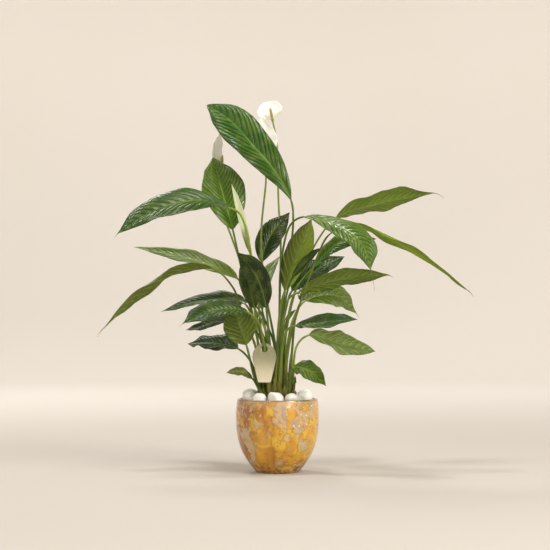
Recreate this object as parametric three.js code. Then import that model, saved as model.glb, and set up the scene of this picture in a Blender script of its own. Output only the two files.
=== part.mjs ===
import * as THREE from 'three';

/*
 * Potted peace lily: a glazed round-bellied pot filled with soil, ten white pebbles,
 * a rooted crown, thirty-one stalked leaves, four flowers and a blank card tag.
 * Millimetres, +Z up. The origin is the centre of the pot's foot, and -Y is the front.
 * Leaf and flower points are [x, y, height above the soil].
 */

// ---- Driving dimensions ----
const clearance = 0.3; // gap between two pieces that touch

const potHeight = 130;
const potWall = 5;
const potFloor = 6;
const footRadius = 38;
const beltRadius = 74; // widest radius, at beltHeight
const beltHeight = 100;
const rimRadius = 71.5;
const bellyPower = 2.6; // how quickly the belly swells out of the foot

const soilDrop = 12; // rim down to the soil
const crownRise = 12; // crown top above the soil
const crownDepth = 18; // crown buried in the soil
const crownRadius = 30.5;
const crownRootRadius = 26;
const seatRings = 3; // rings of stalks round the middle one

const stalkFootRadius = 2.9;
const stalkNeckRadius = 1.7;
const leafTipRadius = 0.45;
const basePower = 0.85; // how slowly a blade opens out at its base
const tipPower = 0.95; // how slowly it narrows to its tip

const stemFootRadius = 2.4;
const stemNeckRadius = 1.6;
const stemHeadRadius = 3.2;
const spatheRib = 0.9;
const spatheBasePower = 0.45;
const spatheTipPower = 0.65;

const pebbleCount = 10;
const pebbleHalfHeight = 14;
const firstPebbleAngle = -93; // degrees round from +X
const stalkRoom = 4.5; // kept free between the crown and the pebbles
const pebbleWallGap = 0.5; // kept free between the pebbles and the pot at its narrowest
const pebbleFill = 0.9; // share of its place that a pebble takes up

const tagHeight = 70;
const tagWidth = 43;
const tagFootWidth = 23;
const tagThickness = 0.8;
const tagEyeRadius = 6;
const tagHangHeight = 106; // where the leaf stalk passes through, above the soil
const tagLean = 9; // degrees that the card's foot swings out to the front

// ---- Sizes that follow from them ----
const soilTop = potHeight - soilDrop;
const crownTop = soilTop + crownRise;
const seatPitch = (crownRadius - stalkFootRadius) / seatRings;

// ---- Leaves ----
// seat: [ring on the crown, angle]; stalk: up to the blade's base; blade: middle and tip;
// faces: the way the upper side looks at mid-blade; fold: how far each half is turned up;
// outline: base and tip powers, where a blade is unlike the rest.
const leaves = [
  { seat: [0, 0], stalk: [[2, 14, 116], [28, 6, 325], [24, 5, 367]], tone: 'deep', fold: 14,
    blade: [[-6, 20, 422], [-43, 50, 468], [-88, 85, 521], [-131, 110, 553]], width: 72,
    faces: [0, -0.9, 0.4], outline: [1.05, 0.7] },
  { seat: [3, 160], stalk: [[-42, 8, 188], [-50, 6, 286], [-67, 0, 341], [-81, -8, 350]], tone: 'deep',
    fold: 12, blade: [[-136, -50, 362], [-212, -100, 340], [-272, -135, 298]], width: 70,
    faces: [-0.25, -0.75, 0.6] },
  { seat: [2, 150], stalk: [[-36, 24, 116], [-68, 28, 257], [-81, 32, 315]], tone: 'fresh', fold: 34,
    blade: [[-101, 66, 385], [-120, 92, 453]], width: 78, faces: [0.1, -0.9, 0.4] },
  { seat: [2, 90], stalk: [[-6, 40, 106], [-28, 84, 170]], tone: 'pale', fold: 15,
    blade: [[-22, 122, 232], [5, 168, 273]], width: 30, faces: [-0.3, -0.8, 0.5] },
  { seat: [2, 30], stalk: [[14, 40, 116], [46, 62, 242], [105, 60, 336]], tone: 'olive', fold: 14,
    blade: [[189, 80, 366], [292, 105, 388]], width: 68, faces: [-0.3, 0.45, 0.82] },
  { seat: [1, 300], stalk: [[4, -12, 116], [7, -22, 259], [23, -30, 320], [45, -45, 333]], tone: 'deep',
    fold: 12, blade: [[104, -95, 314], [143, -130, 281], [157, -150, 236]], width: 68,
    faces: [0.35, -0.65, 0.68] },
  { seat: [2, 270], stalk: [[0, -20, 116], [6, -30, 178], [13, -38, 204]], tone: 'pale', fold: 12,
    blade: [[36, -78, 270], [58, -122, 325]], width: 48, faces: [-0.15, 0.8, 0.58] },
  { seat: [3, 40], stalk: [[26, 44, 90], [34, 80, 160], [44, 98, 186]], tone: 'deep', fold: 14,
    blade: [[74, 140, 212], [98, 200, 190]], width: 54, faces: [0.1, 0.1, 0.95] },
  { seat: [2, 300], stalk: [[20, -24, 106], [34, -36, 163], [65, -50, 251], [89, -50, 300]], tone: 'fresh',
    fold: 16, blade: [[120, -46, 316], [173, -42, 304], [235, -38, 272], [295, -32, 234], [342, -26, 200]],
    width: 36, faces: [0.35, 0.2, 0.92] },
  { seat: [2, 0], stalk: [[14, 8, 116], [33, 10, 206], [64, 5, 245]], tone: 'fresh', fold: 12,
    blade: [[111, -15, 290], [173, -50, 294]], width: 46, faces: [-0.2, -0.7, 0.7] },
  { seat: [1, 60], stalk: [[6, 18, 116], [17, 22, 179], [26, 26, 204]], tone: 'deep', fold: 14,
    blade: [[72, 42, 243], [123, 70, 268]], width: 46, faces: [0.1, -0.7, 0.7] },
  { seat: [1, 0], stalk: [[8, 0, 116], [19, -3, 188], [40, -5, 202]], tone: 'olive', fold: 14,
    blade: [[118, -8, 225], [200, -4, 232]], width: 56, faces: [-0.1, 0.55, 0.83] },
  { seat: [3, 120], stalk: [[-22, 64, 110], [-50, 112, 165], [-62, 136, 182]], tone: 'deep', fold: 14,
    blade: [[-82, 172, 182], [-110, 215, 150]], width: 50, faces: [-0.1, 0.2, 0.95] },
  { seat: [2, 330], stalk: [[17, -6, 100], [30, -2, 158], [50, 7, 186]], tone: 'pale', fold: 12,
    blade: [[104, 22, 195], [143, 34, 164]], width: 54, faces: [0.1, -0.75, 0.65] },
  { seat: [3, 280], stalk: [[8, -36, 99], [17, -43, 134], [31, -50, 142]], tone: 'deep', fold: 14,
    blade: [[82, -80, 149], [137, -105, 153]], width: 52, faces: [0.05, -0.55, 0.83] },
  { seat: [3, 20], stalk: [[28, 18, 53], [36, 32, 107], [57, 36, 124]], tone: 'pale', fold: 14,
    blade: [[117, 55, 107], [180, 80, 94]], width: 58, faces: [-0.1, -0.7, 0.7] },
  { seat: [3, 320], stalk: [[21, -28, 46], [26, -45, 68]], tone: 'fresh', fold: 12,
    blade: [[52, -62, 65], [84, -80, 38]], width: 40, faces: [0.1, -0.75, 0.65] },
  { seat: [3, 300], stalk: [[15, -28, 30], [19, -37, 45]], tone: 'deep', fold: 20,
    blade: [[26, -46, 48], [33, -54, 42]], width: 9, faces: [0.1, -0.7, 0.7] },
  { seat: [3, 220], stalk: [[-34, -22, 32], [-44, -25, 48]], tone: 'olive', fold: 14,
    blade: [[-65, -31, 60], [-90, -37, 59]], width: 26, faces: [-0.2, -0.6, 0.8] },
  { seat: [3, 180], stalk: [[-36, 4, 44], [-50, 16, 80], [-71, 22, 100]], tone: 'deep', fold: 14,
    blade: [[-119, 50, 110], [-166, 85, 108]], width: 50, faces: [-0.1, -0.55, 0.83] },
  { seat: [1, 180], stalk: [[-26, -5, 107], [-49, -12, 143]], tone: 'deep', fold: 14,
    blade: [[-100, -14, 150], [-139, -10, 139], [-163, -6, 134]], width: 46, faces: [-0.1, -0.35, 0.93] },
  { seat: [3, 240], stalk: [[-21, -27, 90], [-25, -36, 117], [-33, -48, 147], [-53, -58, 166]], tone: 'deep',
    fold: 12, blade: [[-108, -90, 169], [-162, -120, 146]], width: 56, faces: [-0.1, -0.6, 0.8] },
  { seat: [1, 120], stalk: [[-18, 26, 107], [-32, 44, 168], [-59, 52, 188]], tone: 'deep', fold: 14,
    blade: [[-133, 80, 188], [-217, 110, 167]], width: 50, faces: [0, -0.5, 0.87] },
  { seat: [2, 180], stalk: [[-40, 0, 107], [-62, 5, 161], [-80, 8, 210], [-116, 6, 244]], tone: 'olive',
    fold: 15, blade: [[-174, 0, 238], [-250, -15, 190], [-313, -25, 132]], width: 56,
    faces: [-0.3, 0.25, 0.9] },
  { seat: [2, 120], stalk: [[-28, 32, 107], [-46, 36, 188], [-72, 44, 226]], tone: 'fresh', fold: 14,
    blade: [[-161, 80, 264], [-269, 120, 288]], width: 52, faces: [-0.3, -0.3, 0.9] },
  { seat: [2, 240], stalk: [[-16, -26, 108], [-17, -36, 143], [-20, -44, 173]], tone: 'deep', fold: 16,
    blade: [[-37, -66, 228], [-70, -95, 269]], width: 46, faces: [0.25, -0.9, 0.3] },
  { seat: [1, 240], stalk: [[-14, -8, 107], [-27, -6, 148], [-40, -6, 172]], tone: 'olive', fold: 20,
    blade: [[-51, -9, 220], [-60, -12, 264]], width: 38, faces: [0.15, -0.95, 0.3] },
  { seat: [2, 60], stalk: [[-4, 48, 106], [-23, 70, 207], [-29, 80, 258]], tone: 'deep', fold: 14,
    blade: [[-13, 110, 308], [23, 150, 355]], width: 48, faces: [0.1, -0.75, 0.65] },
  { seat: [3, 260], stalk: [[2, -30, 108], [11, -44, 170], [24, -64, 222]], tone: 'deep', fold: 14,
    blade: [[49, -88, 252], [74, -118, 275]], width: 26, faces: [-0.3, -0.7, 0.6] },
  { seat: [3, 200], stalk: [[-42, -15, 54], [-50, -26, 88], [-55, -32, 108]], tone: 'olive', fold: 12,
    blade: [[-68, -42, 145], [-80, -46, 182]], width: 58, faces: [-0.1, 0.95, 0.3] },
  { seat: [3, 60], stalk: [[7, 46, 97], [12, 62, 133]], tone: 'olive', fold: 30,
    blade: [[24, 82, 159], [35, 96, 171]], width: 13, faces: [-0.4, -0.5, 0.7] },
];

// ---- Flowers ----
// stem: up to the head; spathe: its middle and tip; faces: from the spathe towards the spadix.
const flowers = [
  { seat: [3, 80], stem: [[3, 64, 130], [6, 136, 300], [2, 150, 373], [-2, 130, 488], [-10, 120, 529]],
    tone: 'white', spathe: [[-16, 130, 545], [-26, 140, 562]], width: 48, fold: 14, faces: [0.05, -0.95, 0.1],
    spadix: [20, 2.6] },
  { seat: [3, 100], stem: [[-16, 46, 130], [-30, 58, 299], [-21, 78, 416], [-24, 90, 450]], tone: 'white',
    spathe: [[-27, 112, 488], [-30, 118, 530]], width: 52, fold: 18, faces: [0.1, -0.95, 0.1],
    spadix: [42, 2.9] },
  { seat: [3, 140], stem: [[-36, 44, 115], [-69, 88, 258], [-107, 115, 373], [-105, 118, 418]], tone: 'white',
    spathe: [[-118, 116, 464], [-107, 116, 502]], width: 32, fold: 24, faces: [0.8, -0.6, 0.1],
    spadix: [42, 2.9] },
  { seat: [2, 210], stem: [[-28, 12, 116], [-39, 16, 224], [-51, 17, 279]], tone: 'green',
    spathe: [[-70, 23, 341], [-83, 20, 397]], width: 18, fold: 36, faces: [0.6, -0.76, 0.25],
    spadix: [38, 1.9] },
];

// ---- Materials ----
const paint = {
  glaze: { color: 0xd99a2b, roughness: 0.25 },
  soil: { color: 0x3a2a1c, roughness: 0.95 },
  crown: { color: 0x6f7a2e, roughness: 0.8 },
  pebble: { color: 0xeeece6, roughness: 0.5 },
  card: { color: 0xd2c9ab, roughness: 0.85 },
  deep: { color: 0x35511f, roughness: 0.4 },
  fresh: { color: 0x5b8128, roughness: 0.42 },
  olive: { color: 0x66702b, roughness: 0.5 },
  pale: { color: 0x8aa548, roughness: 0.5 },
  stem: { color: 0x6c9a33, roughness: 0.5 },
  white: { color: 0xf4f3ea, roughness: 0.5 },
  green: { color: 0xb6cf85, roughness: 0.5 },
  spadix: { color: 0xe6dcae, roughness: 0.7 },
};

const plant = new THREE.Group();

function addPiece(name, geometry, slot) {
  const material = new THREE.MeshStandardMaterial({ ...paint[slot], metalness: 0 });
  const mesh = new THREE.Mesh(geometry, material);
  mesh.name = name;
  plant.add(mesh);
  return mesh;
}

// ---- Pot, soil and crown: turned shapes ----
function outerRadius(z) {
  if (z < beltHeight) {
    return footRadius + (beltRadius - footRadius) * (1 - (1 - z / beltHeight) ** bellyPower);
  }
  return beltRadius - (beltRadius - rimRadius) * ((z - beltHeight) / (potHeight - beltHeight)) ** 2;
}

const innerRadius = (z) => outerRadius(z) - potWall;

// Heights up the side of a turned shape, closer together near the foot.
function heights(from, to, count) {
  return Array.from({ length: count + 1 }, (_, i) => from + (to - from) * (i / count) ** 1.4);
}

// The pot's inner wall and the soil's side turn at the same heights, so they stay parallel.
const beddedHeights = heights(potFloor, soilTop, 8);

const sidePoints = (radiusAt, zs) => zs.map((z) => [radiusAt(z), z]);

function turned(points, segments) {
  const profile = points.map(([r, z]) => new THREE.Vector2(r, z));
  return new THREE.LatheGeometry(profile, segments).rotateX(Math.PI / 2);
}

function makePot() {
  const rimCentre = potHeight - potWall / 2;
  const rim = [];
  for (let step = 1; step < 6; step += 1) {
    const angle = (Math.PI * step) / 6;
    rim.push([
      rimRadius - potWall / 2 + (potWall / 2) * Math.cos(angle),
      rimCentre + (potWall / 2) * Math.sin(angle),
    ]);
  }
  const outside = sidePoints(outerRadius, heights(1, rimCentre, 13));
  const inside = sidePoints(innerRadius, [...beddedHeights, (soilTop + rimCentre) / 2, rimCentre]).reverse();
  const profile = [[0, 0], [footRadius - 1.5, 0], ...outside, ...rim, ...inside, [0, potFloor]];
  addPiece('pot', turned(profile, 44), 'glaze');
}

function makeSoil() {
  const bottom = potFloor + clearance;
  const recess = crownRootRadius + clearance;
  const recessFloor = soilTop - crownDepth - clearance;
  const side = sidePoints((z) => innerRadius(z) - clearance, [bottom, ...beddedHeights.slice(1)]);
  const profile = [[0, bottom], ...side, [recess, soilTop], [recess, recessFloor], [0, recessFloor]];
  addPiece('potting_soil', turned(profile, 44), 'soil');
}

function makeCrown() {
  const shoulder = soilTop + crownRise / 4;
  const profile = [
    [0, soilTop - crownDepth],
    [crownRootRadius, soilTop - crownDepth],
    [crownRootRadius, shoulder],
    [crownRadius, shoulder + crownRise / 4],
    [crownRadius, crownTop],
    [0, crownTop],
  ];
  addPiece('crown', turned(profile, 30), 'crown');
}

// ---- Pebbles: one ring between the stalks and the pot's wall ----
function makePebbles() {
  const inner = crownRadius + stalkRoom;
  const outer = Math.min(innerRadius(soilTop), innerRadius(potHeight)) - pebbleWallGap;
  const ringRadius = (inner + outer) / 2;
  const halfDepth = (pebbleFill * (outer - inner)) / 2;
  const halfWidth = pebbleFill * ringRadius * Math.sin(Math.PI / pebbleCount);
  for (let i = 0; i < pebbleCount; i += 1) {
    const angle = THREE.MathUtils.degToRad(firstPebbleAngle + (360 / pebbleCount) * i);
    const plump = 1 - 0.06 * (1 + Math.sin(2.4 * i + 0.7));
    const tall = pebbleHalfHeight * (1 - 0.1 * (1 + Math.sin(1.7 * i)));
    const stone = new THREE.IcosahedronGeometry(1, 3);
    stone.scale(halfDepth * plump, halfWidth * plump, tall);
    stone.rotateZ(angle);
    const place = [ringRadius * Math.cos(angle), ringRadius * Math.sin(angle), soilTop + clearance + tall];
    stone.translate(...place);
    addPiece(`pebble_${String(i + 1).padStart(2, '0')}`, stone, 'pebble');
  }
}

// ---- Sweeps: one closed body along a path, six corners to a section ----
const onCrown = ([ring, angle]) => new THREE.Vector3(
  ring * seatPitch * Math.cos(THREE.MathUtils.degToRad(angle)),
  ring * seatPitch * Math.sin(THREE.MathUtils.degToRad(angle)),
  crownTop + clearance,
);

const aboveSoil = ([x, y, height]) => new THREE.Vector3(x, y, soilTop + height);

// Turns a start direction square to the path at every ring, with no twist of its own.
// The first section may lie level, where the path stands on the crown.
function sectionFrames(curve, stations, faces, from, levelFoot) {
  const tangents = stations.map((t) => curve.getTangent(t));
  const normals = [];
  const squareTo = (normal, tangent) => (
    normal.clone().addScaledVector(tangent, -normal.dot(tangent)).normalize()
  );
  normals[from] = squareTo(new THREE.Vector3(...faces), tangents[from]);
  for (let i = from + 1; i < stations.length; i += 1) normals[i] = squareTo(normals[i - 1], tangents[i]);
  for (let i = from - 1; i >= 0; i -= 1) normals[i] = squareTo(normals[i + 1], tangents[i]);
  if (levelFoot) {
    tangents[0].set(0, 0, 1);
    normals[0] = squareTo(normals[0], tangents[0]);
  }
  return stations.map((t, i) => ({
    at: curve.getPoint(t),
    normal: normals[i],
    side: new THREE.Vector3().crossVectors(normals[i], tangents[i]),
  }));
}

// Each section gives its rib radius, its half width and the rise of its margins.
function sweep(frames, sections) {
  const corners = 6;
  const points = [];
  frames.forEach(({ at, normal, side }, i) => {
    const { rib, half, lift } = sections[i];
    const across = [half, rib / 2, -rib / 2, -half, -rib / 2, rib / 2];
    const rise = [lift, 0.866 * rib, 0.866 * rib, lift, -0.866 * rib, -0.866 * rib];
    across.forEach((offset, j) => {
      points.push(at.clone().addScaledVector(side, offset).addScaledVector(normal, rise[j]));
    });
  });
  const faces = [];
  for (let i = 0; i + 1 < frames.length; i += 1) {
    for (let j = 0; j < corners; j += 1) {
      const a = i * corners + j;
      const b = i * corners + ((j + 1) % corners);
      faces.push(a, b, b + corners, a, b + corners, a + corners);
    }
  }
  const last = (frames.length - 1) * corners;
  for (let j = 1; j + 1 < corners; j += 1) {
    faces.push(0, j + 1, j);
    faces.push(last, last + j, last + j + 1);
  }
  const geometry = new THREE.BufferGeometry().setFromPoints(points);
  geometry.setIndex(faces);
  return geometry;
}

// 0 at both ends of a blade and 1 at its widest.
function outlineAt(u, base, tip) {
  const shape = (v) => v ** base * (1 - v) ** tip;
  return shape(u) / shape(base / (base + tip));
}

function steps(count, from, to) {
  return Array.from({ length: count }, (_, i) => from + ((to - from) * (i + 1)) / count);
}

function leafPath({ seat, stalk, blade }) {
  const points = [onCrown(seat), ...stalk.map(aboveSoil), ...blade.map(aboveSoil)];
  return new THREE.CatmullRomCurve3(points, false, 'centripetal');
}

function stalkRadius(share) {
  return stalkFootRadius + (stalkNeckRadius - stalkFootRadius) * share;
}

function makeLeaf(name, leaf) {
  const curve = leafPath(leaf);
  const [base, tip] = leaf.outline ?? [basePower, tipPower];
  const spans = leaf.stalk.length + leaf.blade.length;
  const neck = leaf.stalk.length / spans;
  const bladeRings = leaf.blade.length > 3 ? 12 : 9;
  const stalkStations = [0, ...steps(leaf.stalk.length * 2, 0, neck)];
  const bladeStations = steps(bladeRings, neck, 1);
  const frames = sectionFrames(
    curve,
    [...stalkStations, ...bladeStations],
    leaf.faces,
    stalkStations.length + Math.floor(bladeRings / 2) - 1,
    true,
  );
  const rise = Math.tan(THREE.MathUtils.degToRad(leaf.fold));
  const stalkSections = stalkStations.map((t) => {
    const rib = stalkRadius(t / neck);
    return { rib, half: rib, lift: 0 };
  });
  const bladeSections = steps(bladeRings, 0, 1).map((u) => {
    const rib = stalkNeckRadius + (leafTipRadius - stalkNeckRadius) * Math.sqrt(u);
    const wing = (leaf.width / 2 - rib) * outlineAt(u, base, tip);
    return { rib, half: rib + wing, lift: wing * rise };
  });
  addPiece(name, sweep(frames, [...stalkSections, ...bladeSections]), leaf.tone);
}

// ---- Flowers ----
function makeStem(name, path, faces) {
  const curve = new THREE.CatmullRomCurve3(path, false, 'centripetal');
  const stations = [0, ...steps((path.length - 1) * 3, 0, 1)];
  const sections = stations.map((t, i) => {
    const head = i === stations.length - 1;
    const rib = head ? stemHeadRadius : stemFootRadius + (stemNeckRadius - stemFootRadius) * t;
    return { rib, half: rib, lift: 0 };
  });
  addPiece(name, sweep(sectionFrames(curve, stations, faces, 0, true), sections), 'stem');
}

function makeSpathe(name, path, flower) {
  const curve = new THREE.CatmullRomCurve3(path, false, 'centripetal');
  const rings = 9;
  const stations = [0, ...steps(rings, 0, 1)];
  const rise = Math.tan(THREE.MathUtils.degToRad(flower.fold));
  const sections = stations.map((u) => {
    const rib = spatheRib + (leafTipRadius - spatheRib) * u;
    const wing = (flower.width / 2 - rib) * outlineAt(u, spatheBasePower, spatheTipPower);
    return { rib, half: rib + wing, lift: wing * rise };
  });
  addPiece(name, sweep(sectionFrames(curve, stations, flower.faces, 4, false), sections), flower.tone);
}

function makeSpadix(name, foot, axis, [length, radius], faces) {
  const curve = new THREE.LineCurve3(foot, foot.clone().addScaledVector(axis, length));
  const outline = [[0, 0.7], [0.08, 1], [0.5, 1], [0.8, 0.9], [0.93, 0.65], [1, 0.25]];
  const sections = outline.map(([, share]) => ({ rib: radius * share, half: radius * share, lift: 0 }));
  const frames = sectionFrames(curve, outline.map(([t]) => t), faces, 0, false);
  addPiece(name, sweep(frames, sections), 'spadix');
}

function makeFlower(number, flower) {
  const stem = [onCrown(flower.seat), ...flower.stem.map(aboveSoil)];
  const head = stem[stem.length - 1];
  const axis = head.clone().sub(stem[stem.length - 2]).normalize();
  const faces = new THREE.Vector3(...flower.faces).normalize();
  const behind = 0.9 * stemHeadRadius + clearance + 0.8 * spatheRib;
  const spatheFoot = head.clone().addScaledVector(faces, -behind);
  makeStem(`flower_${number}_stem`, stem, flower.faces);
  makeSpathe(`flower_${number}_spathe`, [spatheFoot, ...flower.spathe.map(aboveSoil)], flower);
  makeSpadix(
    `flower_${number}_spadix`,
    head.clone().addScaledVector(axis, clearance * 2),
    axis,
    flower.spadix,
    flower.faces,
  );
}

// ---- Tag: a card with a slot open at the top, hooked round one leaf's stalk ----
function makeTag(leaf) {
  const curve = leafPath(leaf);
  const spans = leaf.stalk.length + leaf.blade.length;
  const neck = leaf.stalk.length / spans;
  let station = 0;
  while (curve.getPoint(station).z < soilTop + tagHangHeight) station += 0.001;
  const centre = curve.getPoint(station);
  const mouth = stalkRadius(station / neck) + clearance * 2;
  const eyeCentre = tagHeight - tagEyeRadius * 1.75;
  const mouthAngle = Math.acos(mouth / tagEyeRadius);
  const shoulder = tagHeight * 0.67;
  const card = new THREE.Shape();
  card.moveTo(-tagFootWidth / 2, 0);
  card.lineTo(tagFootWidth / 2, 0);
  card.lineTo(tagWidth * 0.48, shoulder * 0.86);
  card.bezierCurveTo(tagWidth * 0.53, shoulder * 1.1, tagWidth * 0.4, tagHeight * 0.93, mouth, tagHeight);
  card.lineTo(mouth, eyeCentre + tagEyeRadius * Math.sin(mouthAngle));
  card.absarc(0, eyeCentre, tagEyeRadius, mouthAngle, Math.PI - mouthAngle, true);
  card.lineTo(-mouth, tagHeight);
  card.bezierCurveTo(-tagWidth * 0.4, tagHeight * 0.93, -tagWidth * 0.53, shoulder * 1.1, -tagWidth * 0.48,
    shoulder * 0.86);
  const settings = { depth: tagThickness, bevelEnabled: false, curveSegments: 8 };
  const geometry = new THREE.ExtrudeGeometry(card, settings);
  geometry.translate(0, tagEyeRadius * 0.9 - tagHeight, -tagThickness / 2);
  geometry.rotateX(Math.PI / 2 - THREE.MathUtils.degToRad(tagLean));
  geometry.translate(centre.x, centre.y, centre.z);
  addPiece('plant_tag', geometry, 'card');
}

const tagLeaf = leaves[21];

makePot();
makeSoil();
makeCrown();
makePebbles();
leaves.forEach((leaf, i) => makeLeaf(`leaf_${String(i + 1).padStart(2, '0')}`, leaf));
flowers.forEach((flower, i) => makeFlower(i + 1, flower));
makeTag(tagLeaf);

export default plant;
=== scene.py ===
import math

import bmesh
import bpy
import numpy as np
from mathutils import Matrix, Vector


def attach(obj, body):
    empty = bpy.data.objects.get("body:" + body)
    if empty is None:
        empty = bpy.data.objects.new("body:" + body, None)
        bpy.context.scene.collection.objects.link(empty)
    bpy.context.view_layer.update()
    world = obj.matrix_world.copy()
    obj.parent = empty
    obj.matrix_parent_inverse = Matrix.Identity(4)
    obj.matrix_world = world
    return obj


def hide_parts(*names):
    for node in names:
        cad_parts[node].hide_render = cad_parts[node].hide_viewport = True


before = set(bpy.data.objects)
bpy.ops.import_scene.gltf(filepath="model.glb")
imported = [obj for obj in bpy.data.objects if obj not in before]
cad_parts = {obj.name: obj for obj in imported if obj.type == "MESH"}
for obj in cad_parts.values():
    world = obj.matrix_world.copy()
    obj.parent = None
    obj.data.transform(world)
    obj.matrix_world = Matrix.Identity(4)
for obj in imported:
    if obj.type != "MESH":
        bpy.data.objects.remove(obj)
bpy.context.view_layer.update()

# A potted peace lily. Lengths in the tables are millimetres, as in the CAD source, and every
# Blender vertex is in metres in the CAD frame. -Y is the front.
MM = 0.001
SOIL_TOP = 118.0
CROWN_TOP = 130.0
SEAT_PITCH = 9.2
CROWN_RADIUS = 30.5
STALK_FOOT, STALK_NECK, TIP_RIB = 2.9, 1.7, 0.45
CLEARANCE = 0.3
RNG = np.random.default_rng(7)
# The leaf whose stalk carries the tag.
TAG_LEAF = 22


def plan(seat, stalk, blade, width, faces, fold=14, tone="deep", outline=(0.85, 0.95)):
    """A leaf. Its seat is the ring and angle on the crown, and its points are across, back and above the
    soil. faces is the way that its upper side looks, and fold is in degrees."""
    return dict(seat=seat, stalk=stalk, blade=blade, width=width, faces=faces, fold=fold, tone=tone,
                outline=outline)


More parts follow.
